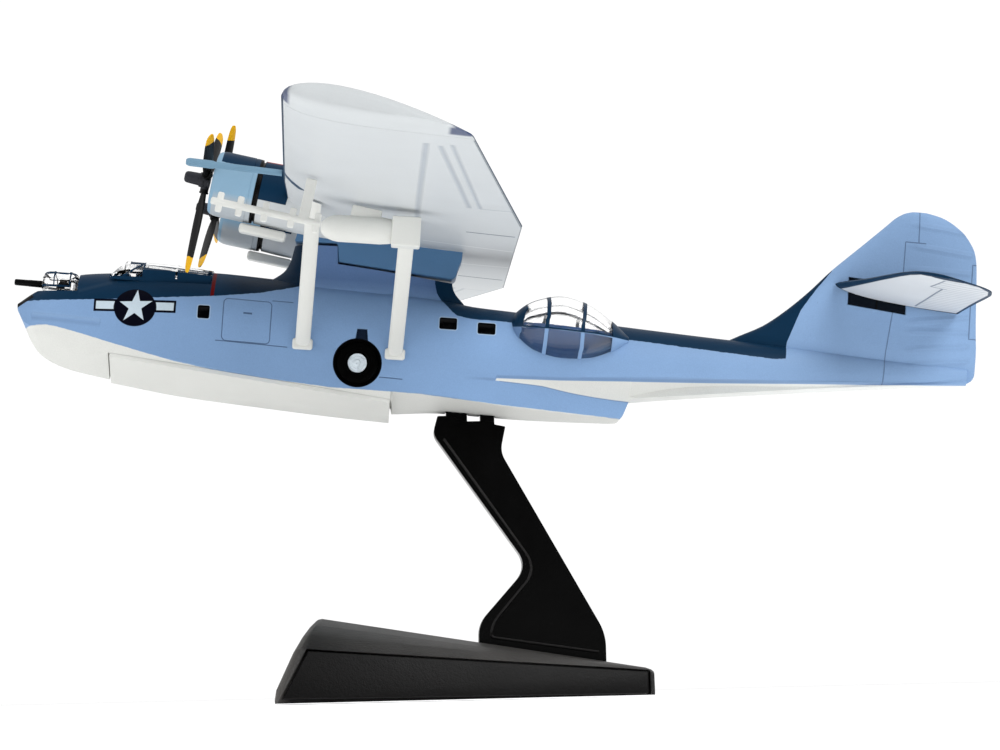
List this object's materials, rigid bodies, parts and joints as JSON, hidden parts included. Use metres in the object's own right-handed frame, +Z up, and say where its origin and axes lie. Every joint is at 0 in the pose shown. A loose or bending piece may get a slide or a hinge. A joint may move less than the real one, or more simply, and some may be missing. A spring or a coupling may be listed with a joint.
{
  "type": "flying boat display model on a stand",
  "caption": "Scale display model of a high-wing patrol flying boat with spinning propellers, held nose-up over a wedge base by an angled arm.",
  "frame": {"origin": "on the underside of the stand's base, under the middle of its length and width", "axes": "+X towards the tail, +Y to starboard along the span, +Z up; the nose points to -X, raised on its stand"},
  "size_m": [0.1303, 0.2118, 0.0801],
  "materials": {
    "sea_blue_paint": "satin two-tone aircraft paint",
    "light_blue_paint": "satin light blue paint",
    "white_paint": "white moulded plastic, satin",
    "clear_plastic": "clear moulded plastic with painted frames",
    "black_plastic": "gloss black moulded plastic",
    "base_plastic": "fine-grained matte black moulded plastic",
    "tyre_black": "matte black",
    "hub_paint": "pale blue-white",
    "engine_metal": "dark grey moulded cylinders"
  },
  "bodies": {
    "model": {"hull": "sea_blue_paint", "keel_insert": "white_paint", "wing": "white_paint", "tip_float_port": "white_paint", "tip_float_starboard": "white_paint", "cowling_port": "light_blue_paint", "cowling_starboard": "light_blue_paint", "engine_port": "engine_metal", "engine_starboard": "engine_metal", "nacelle_scoop_port": "white_paint", "nacelle_scoop_starboard": "white_paint", "strut_front_port": "white_paint", "strut_front_starboard": "white_paint", "strut_rear_port": "white_paint", "strut_rear_starboard": "white_paint", "blister_port": "clear_plastic", "blister_starboard": "clear_plastic", "bow_turret": "clear_plastic", "bow_gun": "black_plastic", "cockpit_canopy": "clear_plastic", "stabilizer_port": "white_paint", "stabilizer_starboard": "white_paint", "tyre_port": "tyre_black", "tyre_starboard": "tyre_black", "wheel_hub_port": "hub_paint", "wheel_hub_starboard": "hub_paint", "pitot_boom": "light_blue_paint", "antenna_port": "white_paint", "antenna_starboard": "white_paint", "store_port": "white_paint", "store_starboard": "white_paint", "stand_arm": "black_plastic", "stand_base": "base_plastic", "stand_nameplate": "base_plastic"},
    "port_propeller": {"propeller_port": "black_plastic"},
    "starboard_propeller": {"propeller_starboard": "black_plastic"}
  },
  "joints": [
    {"name": "port_propeller_spin", "type": "hinge", "parent": "model", "child": "port_propeller", "pos_m": [-0.03284, -0.0173, 0.06858], "axis": [0.972, 0, -0.2351], "continuous": true},
    {"name": "starboard_propeller_spin", "type": "hinge", "parent": "model", "child": "starboard_propeller", "pos_m": [-0.03284, 0.0173, 0.06858], "axis": [0.972, 0, -0.2351], "continuous": true}
  ]
}
